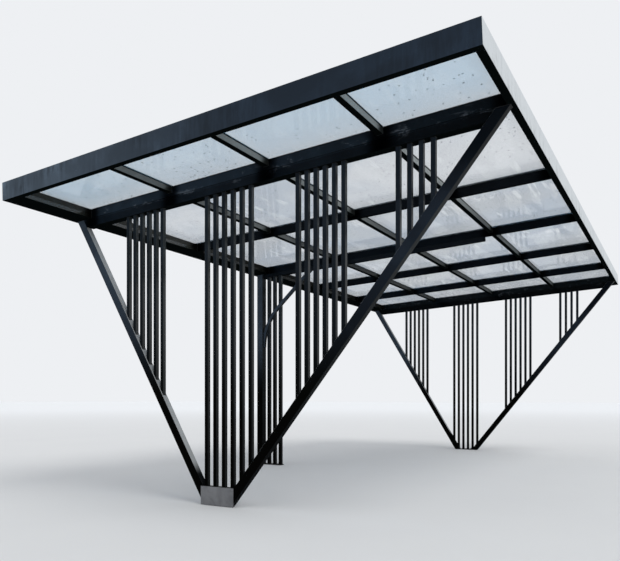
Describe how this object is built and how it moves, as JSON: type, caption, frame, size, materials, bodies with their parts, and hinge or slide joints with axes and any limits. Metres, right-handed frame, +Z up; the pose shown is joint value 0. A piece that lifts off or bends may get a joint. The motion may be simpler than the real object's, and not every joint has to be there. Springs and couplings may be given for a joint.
{
  "type": "carport",
  "caption": "Open carport with a glazed, gently sloping roof on V-shaped frames of box legs with upright slats and a low-side support.",
  "frame": {"origin": "centre of the underside of the front foot, on the ground", "axes": "+Z up, +X across the width towards the high side, +Y from the front edge to the rear"},
  "size_m": [5.0176, 9.5954, 3.5565],
  "materials": {
    "fascia_steel": "dark slate satin paint with water stains",
    "beam_steel": "near-black satin paint",
    "cap_metal": "dark satin paint",
    "frame_steel": "near-black satin paint",
    "slat_steel": "near-black satin paint",
    "cover_plate": "brushed, bare",
    "glass": "pale blue-grey toughened glass, dusty"
  },
  "bodies": {
    "root": {"fascia_front": "fascia_steel", "fascia_rear": "fascia_steel", "fascia_left": "fascia_steel", "fascia_right": "fascia_steel", "eaves_beam": "beam_steel", "gutter_floor": "beam_steel", "middle_beam": "beam_steel", "head_beam_front": "beam_steel", "head_beam_rear": "beam_steel", "purlin_1": "beam_steel", "purlin_2": "beam_steel", "purlin_3": "beam_steel", "purlin_4": "beam_steel", "rafter_left": "beam_steel", "rafter_middle": "beam_steel", "rafter_right": "beam_steel", "glazing_ledges": "beam_steel", "glazing_caps": "cap_metal", "leg_front_left": "frame_steel", "leg_front_right": "frame_steel", "leg_rear_left": "frame_steel", "leg_rear_right": "frame_steel", "foot_front": "frame_steel", "foot_rear": "frame_steel", "middle_post": "frame_steel", "middle_brace": "frame_steel", "middle_base": "frame_steel", "slats_front_a": "slat_steel", "slats_front_b": "slat_steel", "slats_front_c": "slat_steel", "slats_front_d": "slat_steel", "slats_rear_a": "slat_steel", "slats_rear_b": "slat_steel", "slats_rear_c": "slat_steel", "slats_rear_d": "slat_steel", "middle_slats": "slat_steel", "foot_cover_front": "cover_plate", "glass_row_1": "glass", "glass_row_2": "glass", "glass_row_3": "glass", "glass_row_4": "glass", "glass_row_5": "glass", "glass_row_6": "glass", "glass_row_7": "glass"}
  },
  "joints": []
}
